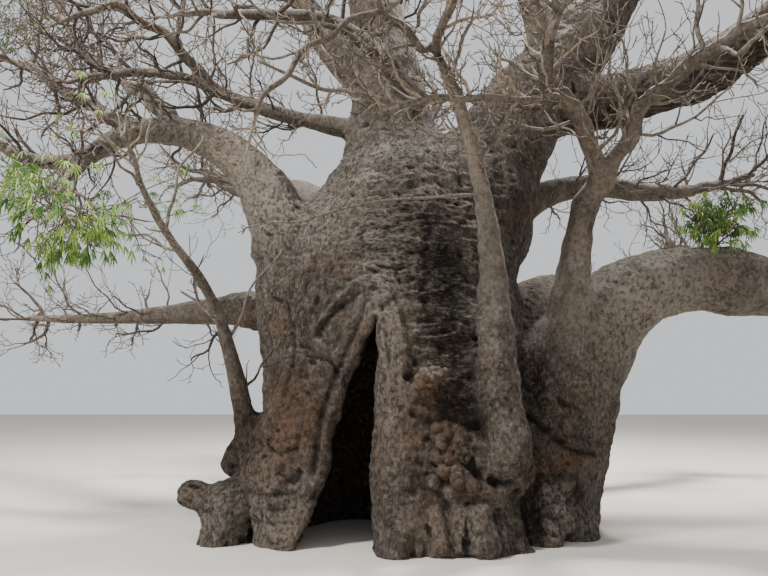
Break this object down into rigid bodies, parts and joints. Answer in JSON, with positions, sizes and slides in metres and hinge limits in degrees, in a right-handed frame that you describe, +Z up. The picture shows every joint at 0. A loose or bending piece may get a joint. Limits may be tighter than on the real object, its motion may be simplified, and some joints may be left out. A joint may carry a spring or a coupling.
{
  "type": "baobab tree",
  "caption": "Very old bare baobab: a fluted hollow trunk with a pointed doorway, thick arching boughs and crooked twigs.",
  "frame": {"origin": "the heart of the trunk on its flat cut at ground level", "axes": "+Z up along the trunk; -Y towards the front, where the doorway of the hollow is; +X to the right seen from the front, towards the arching bough"},
  "size_m": [14.719, 11.294, 12.2238],
  "materials": {
    "bark": "rough grey-brown bark with folds, scars and warmer worn patches",
    "twigs": "thin grey-brown bark, matt",
    "leaves": "fresh yellow-green leaflets, softly glossy"
  },
  "bodies": {
    "root": {"arch_bough": "bark", "arch_bough_outer": "bark", "arch_bough_outer_twigs": "twigs", "arch_shoot": "leaves", "back_bough": "bark", "back_bough_twigs": "twigs", "back_left_bough": "bark", "back_left_bough_twigs": "twigs", "back_right_bough": "bark", "back_right_bough_twigs": "twigs", "centre_back_bough": "bark", "centre_back_bough_twigs": "twigs", "centre_left_bough": "bark", "centre_left_bough_twigs": "twigs", "centre_left_fork": "bark", "centre_left_fork_twigs": "twigs", "centre_left_top": "bark", "centre_left_top_twigs": "twigs", "centre_stem": "bark", "centre_stem_twigs": "twigs", "front_stem": "bark", "front_stem_left": "bark", "front_stem_left_twigs": "twigs", "front_stem_right": "bark", "front_stem_right_twigs": "twigs", "hanging_limb": "bark", "hanging_limb_twigs": "twigs", "left_bough": "bark", "left_bough_twigs": "twigs", "left_drop_bough": "bark", "left_drop_bough_twigs": "leaves", "left_low_bough": "bark", "left_low_bough_twigs": "twigs", "left_thin_stem": "bark", "left_thin_stem_twigs": "twigs", "left_top_bough": "bark", "left_top_bough_twigs": "twigs", "left_upper_bough": "bark", "left_upper_bough_twigs": "twigs", "overhead_limb": "bark", "overhead_limb_twigs": "twigs", "right_mid_bough": "bark", "right_mid_bough_twigs": "twigs", "right_rear_bough": "bark", "right_rear_fork": "bark", "right_rear_fork_twigs": "twigs", "right_rear_inner": "bark", "right_rear_inner_twigs": "twigs", "right_rear_outer": "bark", "right_rear_outer_twigs": "twigs", "right_stem": "bark", "right_stem_left": "bark", "right_stem_left_twigs": "twigs", "right_stem_right": "bark", "right_stem_right_twigs": "twigs", "torn_bough": "bark", "torn_bough_twigs": "twigs", "trunk": "bark"}
  },
  "joints": []
}
